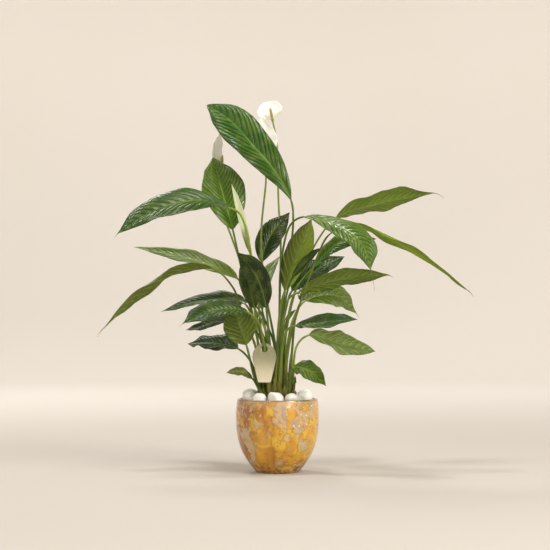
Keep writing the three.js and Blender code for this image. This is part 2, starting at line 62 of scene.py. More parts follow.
LEAVES = [
    plan([0, 0], [[2, 14, 116], [28, 6, 325], [24, 5, 367]],
         [[-6, 20, 422], [-43, 50, 468], [-88, 85, 521], [-131, 110, 553]], 72, [0, -0.9, 0.4],
         outline=[1.05, 0.7]),
    plan([3, 160], [[-42, 8, 188], [-50, 6, 286], [-67, 0, 341], [-81, -8, 350]],
         [[-136, -50, 362], [-212, -100, 340], [-272, -135, 298]], 70, [-0.25, -0.75, 0.6], fold=12),
    plan([2, 150], [[-36, 24, 116], [-68, 28, 257], [-81, 32, 315]], [[-101, 66, 385], [-120, 92, 453]], 78,
         [0.1, -0.9, 0.4], fold=34, tone="fresh"),
    plan([2, 90], [[-6, 40, 106], [-28, 84, 170]], [[-22, 122, 232], [5, 168, 273]], 30, [-0.3, -0.8, 0.5],
         fold=15, tone="pale"),
    plan([2, 30], [[14, 40, 116], [46, 62, 242], [105, 60, 336]], [[189, 80, 366], [292, 105, 388]], 68,
         [-0.3, 0.45, 0.82], tone="olive"),
    plan([1, 300], [[4, -12, 116], [7, -22, 259], [23, -30, 320], [45, -45, 333]],
         [[104, -95, 314], [143, -130, 281], [157, -150, 236]], 68, [0.35, -0.65, 0.68], fold=12),
    plan([2, 270], [[0, -20, 116], [6, -30, 178], [13, -38, 204]], [[36, -78, 270], [58, -122, 325]], 48,
         [-0.15, 0.8, 0.58], fold=12, tone="pale"),
    plan([3, 40], [[26, 44, 90], [34, 80, 160], [44, 98, 186]], [[74, 140, 212], [98, 200, 190]], 54,
         [0.1, 0.1, 0.95]),
    plan([2, 300], [[20, -24, 106], [34, -36, 163], [65, -50, 251], [89, -50, 300]],
         [[120, -46, 316], [173, -42, 304], [235, -38, 272], [295, -32, 234], [342, -26, 200]], 36,
         [0.35, 0.2, 0.92], fold=16, tone="fresh"),
    plan([2, 0], [[14, 8, 116], [33, 10, 206], [64, 5, 245]], [[111, -15, 290], [173, -50, 294]], 46,
         [-0.2, -0.7, 0.7], fold=12, tone="fresh"),
    plan([1, 60], [[6, 18, 116], [17, 22, 179], [26, 26, 204]], [[72, 42, 243], [123, 70, 268]], 46,
         [0.1, -0.7, 0.7]),
    plan([1, 0], [[8, 0, 116], [19, -3, 188], [40, -5, 202]], [[118, -8, 225], [200, -4, 232]], 56,
         [-0.1, 0.55, 0.83], tone="olive"),
    plan([3, 120], [[-22, 64, 110], [-50, 112, 165], [-62, 136, 182]], [[-82, 172, 182], [-110, 215, 150]],
         50, [-0.1, 0.2, 0.95]),
    plan([2, 330], [[17, -6, 100], [30, -2, 158], [50, 7, 186]], [[104, 22, 195], [143, 34, 164]], 54,
         [0.1, -0.75, 0.65], fold=12, tone="pale"),
    plan([3, 280], [[8, -36, 99], [17, -43, 134], [31, -50, 142]], [[82, -80, 149], [137, -105, 153]], 52,
         [0.05, -0.55, 0.83]),
    plan([3, 20], [[28, 18, 53], [36, 32, 107], [57, 36, 124]], [[117, 55, 107], [180, 80, 94]], 58,
         [-0.1, -0.7, 0.7], tone="pale"),
    plan([3, 320], [[21, -28, 46], [26, -45, 68]], [[52, -62, 65], [84, -80, 38]], 40, [0.1, -0.75, 0.65],
         fold=12, tone="fresh"),
    plan([3, 300], [[15, -28, 30], [19, -37, 45]], [[26, -46, 48], [33, -54, 42]], 9, [0.1, -0.7, 0.7],
         fold=20),
    plan([3, 220], [[-34, -22, 32], [-44, -25, 48]], [[-65, -31, 60], [-90, -37, 59]], 26,
         [-0.2, -0.6, 0.8], tone="olive"),
    plan([3, 180], [[-36, 4, 44], [-50, 16, 80], [-71, 22, 100]], [[-119, 50, 110], [-166, 85, 108]], 50,
         [-0.1, -0.55, 0.83]),
    plan([1, 180], [[-26, -5, 107], [-49, -12, 143]], [[-100, -14, 150], [-139, -10, 139], [-163, -6, 134]],
         46, [-0.1, -0.35, 0.93]),
    plan([3, 240], [[-21, -27, 90], [-25, -36, 117], [-33, -48, 147], [-53, -58, 166]],
         [[-108, -90, 169], [-162, -120, 146]], 56, [-0.1, -0.6, 0.8], fold=12),
    plan([1, 120], [[-18, 26, 107], [-32, 44, 168], [-59, 52, 188]], [[-133, 80, 188], [-217, 110, 167]],
         50, [0, -0.5, 0.87]),
    plan([2, 180], [[-40, 0, 107], [-62, 5, 161], [-80, 8, 210], [-116, 6, 244]],
         [[-174, 0, 238], [-250, -15, 190], [-313, -25, 132]], 56, [-0.3, 0.25, 0.9], fold=15,
         tone="olive"),
    plan([2, 120], [[-28, 32, 107], [-46, 36, 188], [-72, 44, 226]], [[-161, 80, 264], [-269, 120, 288]],
         52, [-0.3, -0.3, 0.9], tone="fresh"),
    plan([2, 240], [[-16, -26, 108], [-17, -36, 143], [-20, -44, 173]], [[-37, -66, 228], [-70, -95, 269]],
         46, [0.25, -0.9, 0.3], fold=16),
    plan([1, 240], [[-14, -8, 107], [-27, -6, 148], [-40, -6, 172]], [[-51, -9, 220], [-60, -12, 264]], 38,
         [0.15, -0.95, 0.3], fold=20, tone="olive"),
    plan([2, 60], [[-4, 48, 106], [-23, 70, 207], [-29, 80, 258]], [[-13, 110, 308], [23, 150, 355]], 48,
         [0.1, -0.75, 0.65]),
    plan([3, 260], [[2, -30, 108], [11, -44, 170], [24, -64, 222]], [[49, -88, 252], [74, -118, 275]], 26,
         [-0.3, -0.7, 0.6]),
    plan([3, 200], [[-42, -15, 54], [-50, -26, 88], [-55, -32, 108]], [[-68, -42, 145], [-80, -46, 182]],
         58, [-0.1, 0.95, 0.3], fold=12, tone="olive"),
    plan([3, 60], [[7, 46, 97], [12, 62, 133]], [[24, 82, 159], [35, 96, 171]], 13, [-0.4, -0.5, 0.7],
         fold=30, tone="olive"),
]
FLOWERS = [
    dict(seat=[3, 80], stem=[[3, 64, 130], [6, 136, 300], [2, 150, 373], [-2, 130, 488], [-10, 120, 529]],
         spathe=[[-16, 130, 545], [-26, 140, 562]], width=48, fold=14, faces=[0.05, -0.95, 0.1],
         spadix=[20, 2.6], tone="white"),
    dict(seat=[3, 100], stem=[[-16, 46, 130], [-30, 58, 299], [-21, 78, 416], [-24, 90, 450]],
         spathe=[[-27, 112, 488], [-30, 118, 530]], width=52, fold=18, faces=[0.1, -0.95, 0.1],
         spadix=[42, 2.9], tone="white"),
    dict(seat=[3, 140], stem=[[-36, 44, 115], [-69, 88, 258], [-107, 115, 373], [-105, 118, 418]],
         spathe=[[-118, 116, 464], [-107, 116, 502]], width=32, fold=24, faces=[0.8, -0.6, 0.1],
         spadix=[42, 2.9], tone="white"),
    dict(seat=[2, 210], stem=[[-28, 12, 116], [-39, 16, 224], [-51, 17, 279]],
         spathe=[[-70, 23, 341], [-83, 20, 397]], width=18, fold=36, faces=[0.6, -0.76, 0.25],
         spadix=[38, 1.9], tone="green"),
]

# The colour of each leaf's upper side, sRGB 0 to 255. This is partly the leaf's own tone and partly painted
# shade and light: leaves that lie in shade are darker, and leaves in the light are lighter.
LEAF_PAINT = [
    (54, 100, 13), (61, 96, 27), (86, 121, 27), (114, 143, 56), (93, 119, 27), (93, 125, 40), (100, 124, 36),
    (59, 91, 16), (125, 154, 34), (64, 110, 5), (40, 74, 5), (86, 112, 29), (57, 87, 16), (98, 128, 34),
    (51, 91, 16), (104, 132, 38), (83, 112, 14), (66, 99, 14), (105, 116, 37), (40, 74, 5), (37, 60, 8),
    (46, 82, 13), (51, 89, 11), (92, 107, 38), (110, 136, 42), (32, 52, 6), (52, 71, 13), (41, 60, 6),
    (60, 87, 18), (72, 95, 13), (101, 114, 38),
]
# Where side veins show paler than the tissue (1), and not as darker lines (0).
PALE_VEINS = {4: 0.8, 7: 0.8, 9: 0.3, 12: 0.35, 14: 0.8, 16: 0.8, 19: 0.5, 24: 0.3, 30: 0.3, 31: 0.5}
# Side veins on each half, where there are fewer or more than usual.
VEIN_COUNT = {7: 11, 14: 10, 16: 10, 17: 9, 19: 7, 30: 10}
# Painted light and shade: leaves whose right-hand half is painted lighter (+) or darker (-) than the left,
# because the halves of the folded blade catch the light differently.
LIT_HALVES = {3: 0.12, 7: 0.95, 14: 0.08, 24: -0.10, 26: 0.16, 28: 0.18}
# Leaves with a more ruffled margin than the rest.
RUFFLED = {5: 0.10, 9: 0.20, 16: 0.10, 17: 0.14, 20: 0.12, 24: 0.12}
# Stalks that stand out, then the sheath at every stalk's foot and the tones the other stalks take in turn.
STALK_PAINT = {2: (142, 166, 46), 9: (112, 130, 42), 14: (132, 148, 60), 16: (160, 172, 84),
               24: (124, 136, 58)}
SHEATH_TONE = (132, 142, 60)
STALK_TONES = [(108, 134, 44), (84, 110, 36), (128, 144, 60), (94, 122, 38), (72, 98, 30)]
# How far the dry drip tip hangs on past the blade, in mm.
DRIP = {1: 8, 2: 8, 5: 26, 6: 30, 9: 8, 12: 10, 14: 9, 24: 10, 22: 8}


# ---- Paths: the centripetal curve that the CAD sweeps follow ----
class Path:
    def __init__(self, points):
        self.points = np.array(points, float)

    def at(self, t):
        p, last = self.points, len(self.points) - 1
        place = np.clip(np.atleast_1d(t), 0, 1) * last
        i = np.minimum(place.astype(int), last - 1)
        w = (place - i)[:, None]
        ends = np.vstack([2 * p[0] - p[1], p, 2 * p[-1] - p[-2]])
        p0, p1, p2, p3 = ends[i], ends[i + 1], ends[i + 2], ends[i + 3]
        d0, d1, d2 = (np.maximum(np.linalg.norm(b - a, axis=1), 1e-6)[:, None] ** 0.5
                      for a, b in ((p0, p1), (p1, p2), (p2, p3)))
        t1 = ((p1 - p0) / d0 - (p2 - p0) / (d0 + d1) + (p2 - p1) / d1) * d1
        t2 = ((p2 - p1) / d1 - (p3 - p1) / (d1 + d2) + (p3 - p2) / d2) * d1
        return p1 + t1 * w + (3 * (p2 - p1) - 2 * t1 - t2) * w**2 + (2 * (p1 - p2) + t1 + t2) * w**3

    def tangent(self, t):
        t = np.atleast_1d(t)
        step = self.at(np.minimum(t + 1e-4, 1)) - self.at(np.maximum(t - 1e-4, 0))
        return step / np.linalg.norm(step, axis=1)[:, None]

    def frames(self, t, faces, anchor):
        """Points, tangents, normals and sides at t. The normal at anchor looks along faces, with no twist."""
        tangents = self.tangent(t)
        normals = np.zeros_like(tangents)

        def square(v, tangent):
            v = v - tangent * v.dot(tangent)
            return v / np.linalg.norm(v)

        normals[anchor] = square(np.array(faces, float), tangents[anchor])
        for i in range(anchor + 1, len(t)):
            normals[i] = square(normals[i - 1], tangents[i])
        for i in range(anchor - 1, -1, -1):
            normals[i] = square(normals[i + 1], tangents[i])
        return self.at(t), tangents, normals, np.cross(normals, tangents)


def on_crown(seat):
    ring, angle = seat[0] * SEAT_PITCH, math.radians(seat[1])
    return [ring * math.cos(angle), ring * math.sin(angle), CROWN_TOP + CLEARANCE]


def above_soil(points):
    return [[x, y, SOIL_TOP + h] for x, y, h in points]


def leaf_path(leaf):
    """The path from the crown to the leaf's tip, and the share of it where the blade starts."""
    stalk, wings = above_soil(leaf["stalk"]), above_soil(leaf["blade"])
    return Path([on_crown(leaf["seat"])] + stalk + wings), len(stalk) / (len(stalk) + len(wings))


def smooth(lo, hi, x):
    t = np.clip((np.asarray(x, float) - lo) / (hi - lo), 0, 1)
    return t * t * (3 - 2 * t)


def linear(*rgb):
    c = np.array(rgb) / 255
    return np.where(c <= 0.04045, c / 12.92, ((c + 0.055) / 1.055) ** 2.4)


def ripple(p, scale, seed, terms=7):
    """A smooth random field of about -1 to 1 over points p, with features about scale wide."""
    rng = np.random.default_rng(seed)
    total = 0
    for _ in range(terms):
        way = rng.normal(size=3)
        way *= rng.uniform(0.7, 1.5) * 2 * math.pi / scale / np.linalg.norm(way) / 2
        total = total + np.sin(p @ way + rng.uniform(0, 6.28))
    return total / terms**0.5 / 1.2


# ---- Meshes ----
def put(name, data):
    """Makes an object from a mesh, lamp or camera and puts it in the scene."""
    made = bpy.data.objects.new(name, data)
    bpy.context.scene.collection.objects.link(made)
    return made


class Mesh:
    """Collects vertices in mm with their paint attributes, then makes one Blender object."""

    def __init__(self):
        self.points, self.faces, self.slots, self.data = [], [], [], {}
        self.count = 0

    def add(self, points, faces, slot=0, **data):
        points = np.asarray(points, float).reshape(-1, 3)
        self.faces += [[i + self.count for i in f] for f in faces]
        self.slots += [slot] * len(faces) if isinstance(slot, int) else list(slot)
        for name, values in data.items():
            self.data.setdefault(name, []).append((self.count, np.asarray(values, float)))
        self.points.append(points)
        self.count += len(points)

    def tube(self, points, slot=0, **data):
        """Adds rows of ring corners as a capped tube, with data for each row or for each corner."""
        rows, ring = points.shape[:2]
        data = {name: values.ravel() if values.shape == (rows, ring) else np.repeat(values, ring, 0)
                for name, values in data.items()}
        self.add(points, [f[::-1] for f in tube_faces(rows, ring)], slot, **data)

    def build(self, name, materials):
        mesh = bpy.data.meshes.new(name)
        mesh.from_pydata((np.vstack(self.points) * MM).tolist(), [], self.faces)
        mesh.polygons.foreach_set("material_index", self.slots)
        mesh.polygons.foreach_set("use_smooth", [True] * len(self.faces))
        for key, parts in self.data.items():
            width = 1 if parts[0][1].ndim == 1 else 4
            full = np.zeros((self.count, width))
            for start, values in parts:
                values = values.reshape(len(values), -1)
                full[start:start + len(values), :values.shape[1]] = values
                if width == 4:
                    full[start:start + len(values), 3] = 1
            layer = mesh.attributes.new(key, "FLOAT" if width == 1 else "FLOAT_COLOR", "POINT")
            layer.data.foreach_set("value" if width == 1 else "color", full.ravel())
        for material in materials:
            mesh.materials.append(material)
        mesh.validate()
        return put(name, mesh)

    def piece(self, name, materials, slot, node):
        piece = self.build(name, materials)
        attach(piece, "root")
        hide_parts(node)


def tube_faces(rows, ring, caps=True):
    """Quads between rows of ring corners each, counted round the same way, and the two end caps."""
    faces = []
    for i in range(rows - 1):
        for j in range(ring):
            a, b = i * ring + j, i * ring + (j + 1) % ring
            faces.append((a, b, b + ring, a + ring))
    if caps:
        last = (rows - 1) * ring
        faces += [tuple(range(ring))[::-1], tuple(range(last, last + ring))]
    return faces


def round_angles(count):
    return np.arange(count) * 2 * math.pi / count


def grid_faces(rows, cols):
    """Quads of a sheet of points, counted along its rows."""
    corners = [i * cols + j for i in range(rows - 1) for j in range(cols - 1)]
    return [(a, a + 1, a + cols + 1, a + cols) for a in corners]


def sweep_tube(frames, radii, ring, shape=None):
    """A tube along frames. shape(angle) scales the radius round the section; 0 looks along the normal."""
    at, _, normals, sides = frames
    angle = round_angles(ring)
    scale = np.ones((len(at), ring)) if shape is None else shape(angle)
    reach = np.asarray(radii)[:, None] * scale
    return (at[:, None] + normals[:, None] * (reach * np.cos(angle))[..., None]
            + sides[:, None] * (reach * np.sin(angle))[..., None])


def turned(profile, segments):
    """Corners and faces of a lathe shape; the profile runs from the axis round to the axis."""
    profile = np.array(profile, float)
    angle = round_angles(segments)
    rows = profile[1:-1]
    points = np.stack([rows[:, :1] * np.cos(angle), rows[:, :1] * np.sin(angle),
                       np.repeat(rows[:, 1:], segments, 1)], -1).reshape(-1, 3)
    points = np.vstack([points, [0, 0, profile[0][1]], [0, 0, profile[-1][1]]])
    faces = tube_faces(len(rows), segments, caps=False)
    foot, head, last = len(points) - 2, len(points) - 1, (len(rows) - 1) * segments
    for j in range(segments):
        k = (j + 1) % segments
        faces += [(foot, k, j), (head, last + j, last + k)]
    return points, faces


# ---- Materials: procedural, in the pieces' own coordinates ----
class Paint:
    """A Principled material with short calls for its nodes, which give their output sockets."""

    def __init__(self, name, specular, **constants):
        self.mat = bpy.data.materials.new(name)
        self.mat.use_nodes = True
        self.tree = self.mat.node_tree
        self.bsdf = self.tree.nodes["Principled BSDF"]
        self.output = self.tree.nodes["Material Output"]
        for key, value in {"Specular_IOR_Level": specular, **constants}.items():
            self.plug(self.bsdf.inputs[key.replace("_", " ")], value)
        self.place = self.node("ShaderNodeTexCoord", out=3)

    def plug(self, socket, value):
        if isinstance(value, bpy.types.NodeSocket):
            self.tree.links.new(value, socket)
        elif isinstance(value, (tuple, list, np.ndarray)):
            value = [float(v) for v in value]
            colour = len(value) == 3 and len(socket.default_value) == 4
            socket.default_value = value + [1.0] if colour else value
        else:
            socket.default_value = value

    def node(self, kind, *values, out=0, **settings):
        made = self.tree.nodes.new(kind)
        for key, value in settings.items():
            setattr(made, key, value)
        for socket, value in zip(made.inputs, values):
            self.plug(socket, value)
        return made.outputs[out]

    def math(self, operation, a, b=0.0):
        return self.node("ShaderNodeMath", a, b, operation=operation)

    def times(self, a, b):
        return self.math("MULTIPLY", a, b)

    def plus(self, a, b):
        return self.math("ADD", a, b)

    def step(self, value, lo, hi, start=0.0, end=1.0):
        """Goes smoothly from start at lo to end at hi."""
        return self.node("ShaderNodeMapRange", value, lo, hi, start, end, interpolation_type="SMOOTHSTEP")

    def mix(self, factor, a, b):
        made = self.tree.nodes.new("ShaderNodeMix")
        made.data_type = "RGBA"
        for index, value in ((0, factor), (6, a), (7, b)):
            self.plug(made.inputs[index], value)
        return made.outputs[2]

    def noise(self, scale, detail=3.0, distortion=0.0, place=None):
        made = self.tree.nodes.new("ShaderNodeTexNoise")
        for key, value in (("Vector", place or self.place), ("Scale", scale), ("Detail", detail),
                           ("Distortion", distortion)):
            self.plug(made.inputs[key], value)
        return made.outputs[0]

    def cells(self, scale):
        made = self.tree.nodes.new("ShaderNodeTexVoronoi")
        self.plug(made.inputs["Vector"], self.place)
        self.plug(made.inputs["Scale"], scale)
        return made.outputs["Distance"]

    def stretch(self, x, y, z):
        return self.node("ShaderNodeMapping", self.place, (0, 0, 0), (0, 0, 0), (x, y, z))

    def attribute(self, name, colour=False):
        return self.node("ShaderNodeAttribute", out=0 if colour else 2, attribute_name=name)

    def bump(self, height, distance, strength):
        made = self.tree.nodes.new("ShaderNodeBump")
        for key, value in (("Strength", strength), ("Distance", distance), ("Height", height)):
            self.plug(made.inputs[key], value)
        return made.outputs[0]

    def finish(self, colour, roughness, normal=None, through=0.0, glow=None):
        """Sets the surface. through is the share of light that passes through, in the colour glow."""
        for key, value in (("Base Color", colour), ("Roughness", roughness), ("Normal", normal)):
            if value is not None:
                self.plug(self.bsdf.inputs[key], value)
        if through:
            thin = self.node("ShaderNodeBsdfTranslucent", glow)
            both = self.node("ShaderNodeMixShader", through, self.bsdf.outputs[0], thin)
            self.tree.links.new(both, self.output.inputs["Surface"])
        return self.mat


def leaf_material(name, under=False, stalk=False):
    """Tissue in the tone that its vertices carry, with sunken side veins, a pale midrib and fine mottling. On
    the upper side, the grooves along the side veins are painted darker as painted shade.
    """
    p = Paint(name, 0.3 if under else 0.27)
    tone = p.attribute("tone", colour=True)
    broad, fine = p.noise(38, 3, 0.6), p.noise(420, 2)
    tone = p.mix(p.step(broad, 0.4, 0.7, 0.0, 0.22), tone, (0.30, 0.40, 0.06))
    tone = p.mix(p.step(fine, 0.35, 0.65, 0.0, 0.12), tone, (0.02, 0.035, 0.008))
    if stalk:
        long = p.noise(90, 4, 0.2, p.stretch(6, 6, 0.5))
        tone = p.mix(p.step(long, 0.4, 0.62, 0.0, 0.34), tone, (0.045, 0.060, 0.012))
        speck = p.step(p.cells(900), 0.12, 0.2, 0.35, 0.0)
        tone = p.mix(speck, tone, (0.16, 0.17, 0.07))
        return p.finish(tone, p.step(long, 0.3, 0.7, 0.34, 0.52), p.bump(long, 0.0004, 0.6))
    vein, rib, pale = p.attribute("vein"), p.attribute("rib"), p.attribute("pale")
    near = p.math("PINGPONG", vein, 0.5)
    line = p.times(p.step(near, 0.0, 0.12, 1.0, 0.0), p.step(rib, 1.0, 4.0))
    valley = p.times(p.step(near, 0.0, 0.30, 1.0, 0.0), p.step(rib, 1.5, 6.0))
    fold = p.math("PINGPONG", p.times(vein, 5.0), 0.5)
    hair = p.times(p.step(fold, 0.0, 0.25, 1.0, 0.0), p.step(rib, 2.0, 6.0))
    midrib = p.step(rib, 0.6, 1.6, 1.0, 0.0)
    if under:
        tone = p.mix(p.times(valley, 0.30), tone, (0.26, 0.34, 0.08))
        tone = p.mix(p.times(line, 0.62), tone, (0.40, 0.46, 0.15))
        tone = p.mix(p.times(midrib, 0.7), tone, (0.44, 0.50, 0.17))
        rough, glow = 0.50, p.mix(0.5, tone, (0.30, 0.46, 0.04))
        height = p.plus(line, p.times(hair, 0.25))
    else:
        # Painted shade: on the upper side, the grooves along the side veins are painted darker.
        dark = p.mix(p.times(valley, 0.46), tone, (0.016, 0.034, 0.006))
        dark = p.mix(p.times(line, 0.50), dark, (0.010, 0.022, 0.004))
        light = p.mix(p.times(valley, 0.46), tone, (0.36, 0.44, 0.13))
        light = p.mix(p.times(line, 0.95), light, (0.56, 0.61, 0.27))
        tone = p.mix(pale, dark, light)
        tone = p.mix(p.times(hair, 0.12), tone, (0.02, 0.035, 0.008))
        tone = p.mix(p.times(midrib, 0.66), tone, (0.30, 0.40, 0.10))
        rough, glow = p.step(broad, 0.3, 0.7, 0.19, 0.32), p.mix(0.5, tone, (0.24, 0.44, 0.02))
        p.plug(p.bsdf.inputs["Coat Weight"], 0.24)
        p.plug(p.bsdf.inputs["Coat Roughness"], 0.12)
        height = p.math("SUBTRACT", p.times(fine, 0.3), p.plus(line, p.times(hair, 0.3)))
    return p.finish(tone, rough, p.bump(height, 0.0006, 0.8), 0.16, glow)


def spathe_material(name, tint, base_tint, stripes=0.12):
    """Waxy white tissue, greener at its foot and along its fine veins."""
    p = Paint(name, 0.4)
    along, vein, rib = p.attribute("along"), p.attribute("vein"), p.attribute("rib")
    tone = p.mix(p.step(along, 0.0, 0.42, 0.85, 0.0), tint, base_tint)
    line = p.step(p.math("PINGPONG", vein, 0.5), 0.0, 0.16, 1.0, 0.0)
    tone = p.mix(p.times(line, stripes), tone, base_tint)
    tone = p.mix(p.step(rib, 0.4, 1.5, 0.35, 0.0), tone, base_tint)
    broad = p.noise(70, 3)
    tone = p.mix(p.step(broad, 0.4, 0.75, 0.0, 0.25), tone, (0.76, 0.74, 0.66))
    height = p.plus(p.times(line, -0.6), p.noise(300, 2))
    return p.finish(tone, p.step(broad, 0.3, 0.7, 0.42, 0.56), p.bump(height, 0.0003, 0.6), 0.22, tone)


def glaze_material():
    """Runny ochre glaze: golden and burnt clouds, cream patches with iron outlines, spots and specks. The
    right-hand side is painted more golden and the left more burnt, as painted light from the right. The rim's
    top edge is a thin dark grey line, which is partly painted shade.
    """
    p = Paint("runny_glaze", 0.6, Coat_Weight=0.35, Coat_Roughness=0.08)
    x, y, z = (p.node("ShaderNodeSeparateXYZ", p.place, out=i) for i in range(3))
    run = p.stretch(1.0, 1.0, 0.62)
    cloud, drift = p.noise(13, 4, 0.9, run), p.noise(34, 5, 1.2, run)
    # Painted light: the mask below paints the right (+X) side more golden and the left more burnt, as if lit
    # from the right.
    side = p.step(x, -0.075, 0.06)
    warm = p.mix(p.step(p.plus(cloud, p.times(side, 0.14)), 0.42, 0.66),
                 linear(168, 102, 18), linear(218, 160, 26))
    warm = p.mix(p.step(drift, 0.54, 0.72, 0.0, 0.55), warm, linear(176, 108, 20))
    warm = p.mix(p.step(p.noise(58, 4, 0.7), 0.48, 0.66, 0.0, 0.7), warm, linear(234, 194, 54))
    patches = p.plus(p.times(p.noise(38, 3, 1.1, run), 0.62), p.times(p.noise(95, 3), 0.38))
    # Where the big patches lie on the front: across, height, reach both ways in metres, and strength.
    field = p.times(patches, 0.92)
    for cx, cz, rx, rz, rise in ((0.003, 0.102, 0.017, 0.027, 0.15), (0.031, 0.087, 0.014, 0.016, 0.15),
                                 (0.042, 0.052, 0.013, 0.016, 0.13), (-0.054, 0.070, 0.011, 0.034, 0.11),
                                 (-0.033, 0.088, 0.010, 0.009, 0.12), (-0.058, 0.114, 0.010, 0.014, 0.13),
                                 (0.055, 0.105, 0.010, 0.012, 0.12), (-0.027, 0.060, 0.017, 0.020, -0.12),
                                 (0.005, 0.035, 0.040, 0.022, -0.07)):
        dx = p.math("DIVIDE", p.math("SUBTRACT", x, cx), rx)
        dz = p.math("DIVIDE", p.math("SUBTRACT", z, cz), rz)
        reach = p.math("SQRT", p.plus(p.times(dx, dx), p.times(dz, dz)))
        spot = p.times(p.step(reach, 0.3, 1.25, rise, 0.0), p.step(y, -0.02, 0.01, 1.0, 0.0))
        field = p.plus(field, spot)
    ragged = p.plus(field, p.times(p.noise(110, 4, 0.6), 0.20))
    patch = p.step(ragged, 0.60, 0.66)
    edge = p.math("SUBTRACT", p.step(ragged, 0.575, 0.60), p.step(ragged, 0.605, 0.635))
    cream = p.mix(p.step(p.noise(60, 4, 0.8), 0.4, 0.62), linear(200, 178, 142), linear(176, 148, 124))
    cream = p.mix(p.step(p.noise(26, 3, 0.5), 0.45, 0.6, 0.0, 0.7), cream, linear(214, 184, 122))
    tone = p.mix(p.times(patch, 0.88), warm, cream)
    vein = p.step(p.math("PINGPONG", p.noise(34, 4, 1.4), 0.05), 0.0, 0.007, 1.0, 0.0)
    tone = p.mix(p.times(vein, p.step(drift, 0.4, 0.6, 0.15, 0.6)), tone, linear(216, 190, 130))
    tone = p.mix(p.times(edge, 0.5), tone, linear(134, 74, 30))
    grey = p.step(p.noise(48, 4, 0.9, p.stretch(1.3, 1.3, 1.0)), 0.60, 0.65, 0.0, 0.6)
    tone = p.mix(grey, tone, linear(186, 164, 148))
    pale_spot = p.cells(95)
    upper = p.times(p.step(z, 0.07, 0.09), p.step(x, 0.0, 0.03))
    tone = p.mix(p.times(p.step(pale_spot, 0.20, 0.24, 1.0, 0.0), upper), tone, linear(232, 214, 184))
    rimmed = p.math("SUBTRACT", p.step(pale_spot, 0.19, 0.22), p.step(pale_spot, 0.24, 0.29))
    tone = p.mix(p.times(rimmed, p.times(upper, 0.7)), tone, linear(120, 66, 40))
    speck = p.times(p.step(p.cells(330), 0.10, 0.16, 1.0, 0.0), p.step(p.noise(40, 2), 0.42, 0.6))
    tone = p.mix(p.times(speck, 0.7), tone, linear(84, 48, 34))
    foot = p.times(p.step(z, 0.002, 0.03, 1.0, 0.0), p.step(p.noise(150, 4, 0.4), 0.4, 0.62))
    tone = p.mix(p.times(foot, 0.85), tone, linear(96, 66, 56))
    # The thin dark grey line round the rim's top edge is partly the rim's own edge and partly painted shade
    # in the gap along it.
    lip = p.times(p.step(z, 0.1265, 0.1285), p.step(p.noise(70, 3), 0.2, 0.6, 0.5, 1.0))
    tone = p.mix(lip, tone, linear(92, 84, 66))
    collar = p.times(p.step(z, 0.112, 0.124), p.step(p.noise(55, 3), 0.35, 0.65, 0.1, 0.5))
    tone = p.mix(collar, tone, linear(196, 166, 132))
    height = p.plus(p.times(patch, 0.5), p.times(drift, 0.8))
    return p.finish(tone, p.step(drift, 0.3, 0.7, 0.13, 0.26), p.bump(height, 0.0006, 0.5))


def stone_material():
    p = Paint("river_stone", 0.4)
    broad, fine = p.noise(26, 5, 0.7), p.noise(260, 4)
    tone = p.mix(p.step(broad, 0.38, 0.66), linear(253, 251, 247), linear(234, 229, 221))
    tone = p.mix(p.step(fine, 0.5, 0.75, 0.0, 0.25), tone, linear(196, 188, 178))
    band = p.step(p.math("PINGPONG", p.noise(14, 2, 2.5), 0.08), 0.0, 0.012, 0.25, 0.0)
    tone = p.mix(band, tone, linear(206, 198, 190))
    pit = p.step(p.cells(700), 0.1, 0.22, 0.3, 0.0)
    tone = p.mix(pit, tone, linear(140, 128, 112))
    height = p.plus(p.times(fine, 0.7), p.times(pit, -1.0))
    return p.finish(tone, p.step(broad, 0.3, 0.7, 0.42, 0.62), p.bump(height, 0.0005, 0.6))


def soil_material():
    p = Paint("potting_mix", 0.2)
    broad, fine = p.noise(60, 5), p.noise(600, 4)
    tone = p.mix(p.step(broad, 0.35, 0.65), linear(62, 44, 30), linear(34, 24, 18))
    tone = p.mix(p.step(fine, 0.58, 0.7, 0.0, 0.8), tone, linear(122, 92, 62))
    tone = p.mix(p.step(p.cells(420), 0.08, 0.14, 0.8, 0.0), tone, linear(204, 196, 178))
    return p.finish(tone, p.step(fine, 0.3, 0.7, 0.82, 0.98), p.bump(fine, 0.0012, 0.9))


def crown_material():
    p = Paint("papery_sheath", 0.3)
    fibre = p.noise(150, 5, 0.3, p.stretch(4, 4, 0.5))
    broad = p.noise(40, 3)
    tone = p.mix(p.step(broad, 0.35, 0.62), linear(122, 130, 50), linear(104, 98, 42))
    tone = p.mix(p.step(fibre, 0.5, 0.68, 0.0, 0.6), tone, linear(158, 150, 88))
    tone = p.mix(p.step(fibre, 0.28, 0.42, 0.7, 0.0), tone, linear(48, 36, 20))
    return p.finish(tone, p.step(fibre, 0.3, 0.7, 0.6, 0.85), p.bump(fibre, 0.0008, 0.8))


def spadix_material():
    p = Paint("spadix_flesh", 0.3)
    knob, along = p.attribute("knob"), p.attribute("along")
    # Painted shade: the hollows between the knobs are painted darker and the knobs paler.
    tone = p.mix(p.step(knob, 0.2, 0.9), linear(150, 132, 74), linear(224, 208, 150))
    tone = p.mix(p.step(along, 0.55, 1.0, 0.0, 0.4), tone, linear(206, 196, 120))
    fine = p.noise(1500, 2)
    tone = p.mix(p.step(fine, 0.5, 0.7, 0.0, 0.3), tone, linear(252, 246, 220))
    return p.finish(tone, p.step(fine, 0.3, 0.7, 0.6, 0.8), p.bump(fine, 0.0003, 0.6))


